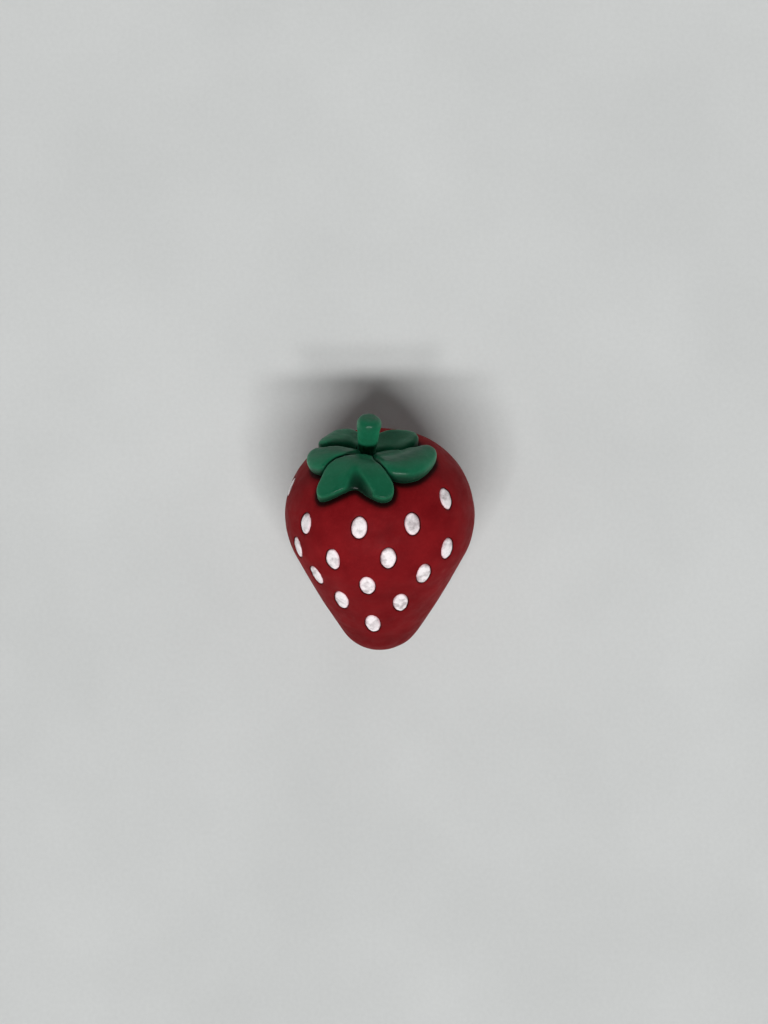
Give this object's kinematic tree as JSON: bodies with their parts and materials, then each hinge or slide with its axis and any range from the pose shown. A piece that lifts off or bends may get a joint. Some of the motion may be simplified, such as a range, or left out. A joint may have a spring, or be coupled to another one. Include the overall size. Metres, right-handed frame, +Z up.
{
  "type": "strawberry needle minder",
  "caption": "Magnetic needle keeper for needlework: a small moulded strawberry with pressed-on leaves, stem and inlaid seeds, a magnet in its flat back and a loose backing magnet.",
  "frame": {"origin": "centre of the backing magnet's outer face, which the keeper stands on", "axes": "+Z up out of the fabric, away from the backing magnet; +Y towards the stem end; +X to the right seen from above with the stem end at the top"},
  "size_m": [0.0218, 0.0273, 0.0226],
  "materials": {
    "berry_red": "matte",
    "leaf_green": "matte",
    "seed_white": "satin",
    "magnet_plating": "polished",
    "glue": "satin"
  },
  "bodies": {
    "backing": {"backing_magnet": "magnet_plating"},
    "berry": {"berry_body": "berry_red", "leaf_front": "leaf_green", "leaf_right": "leaf_green", "leaf_left": "leaf_green", "leaf_back_right": "leaf_green", "leaf_back_left": "leaf_green", "stem": "leaf_green", "seed_01": "seed_white", "seed_02": "seed_white", "seed_03": "seed_white", "seed_04": "seed_white", "seed_05": "seed_white", "seed_06": "seed_white", "seed_07": "seed_white", "seed_08": "seed_white", "seed_09": "seed_white", "seed_10": "seed_white", "seed_11": "seed_white", "seed_12": "seed_white", "seed_13": "seed_white", "seed_14": "seed_white", "seed_15": "seed_white", "seed_16": "seed_white", "seed_17": "seed_white", "seed_18": "seed_white", "seed_19": "seed_white", "seed_20": "seed_white", "seed_21": "seed_white", "seed_22": "seed_white", "seed_23": "seed_white", "seed_24": "seed_white", "seed_25": "seed_white", "seed_26": "seed_white", "seed_27": "seed_white", "front_magnet": "magnet_plating", "magnet_glue": "glue"}
  },
  "joints": [
    {"name": "lift_off", "type": "slide", "parent": "backing", "child": "berry", "axis": [0, 0, 1], "range_m": [0, 0.025]}
  ]
}
